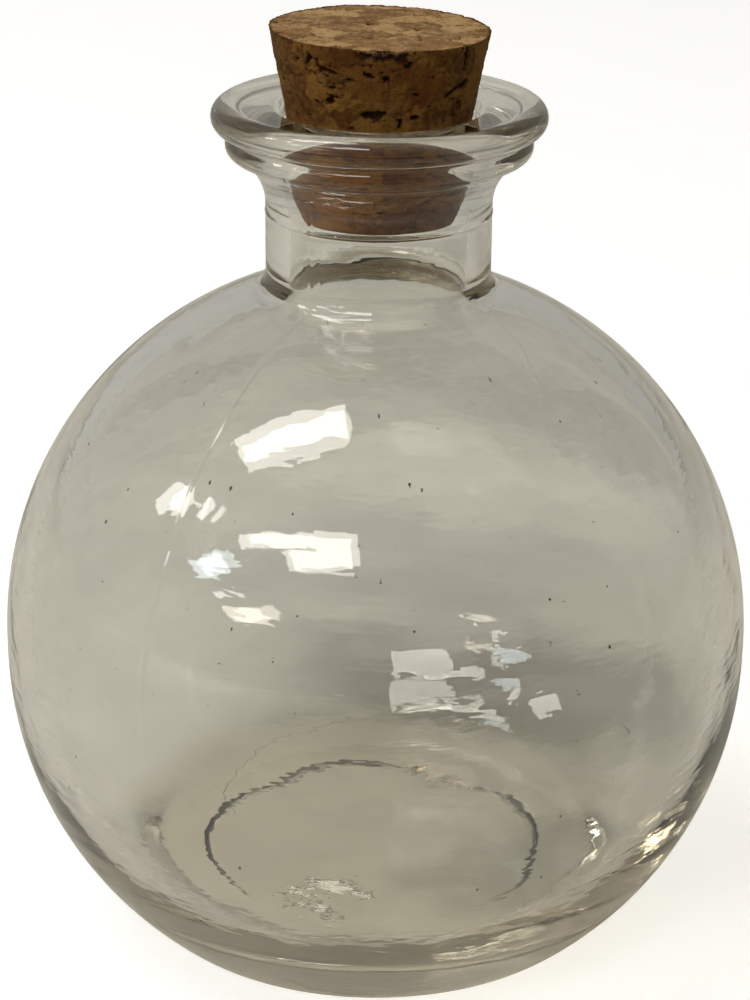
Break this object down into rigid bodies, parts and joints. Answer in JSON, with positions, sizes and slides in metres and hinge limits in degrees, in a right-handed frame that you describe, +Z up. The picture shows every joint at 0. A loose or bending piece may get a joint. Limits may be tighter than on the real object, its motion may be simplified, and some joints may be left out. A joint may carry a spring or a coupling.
{
  "type": "ball bottle with cork",
  "caption": "Clear glass ball bottle on a flat foot, with a short neck, a turned-out lip and a tapered cork stopper that lifts out.",
  "frame": {"origin": "centre of the ring that the bottle stands on", "axes": "+Z up along the bottle's axis; X and Y are free, since both pieces are bodies of revolution"},
  "size_m": [0.087, 0.087, 0.1072],
  "materials": {
    "clear_glass": "clear, fire-polished, faintly olive where it is thick",
    "cork": "pressed cork granules, ground sides, matte"
  },
  "bodies": {
    "bottle": {"glass_bottle": "clear_glass"},
    "cork": {"cork_stopper": "cork"}
  },
  "joints": [
    {"name": "cork_lift", "type": "slide", "parent": "bottle", "child": "cork", "axis": [0, 0, 1], "range_m": [0, 0.045]}
  ]
}
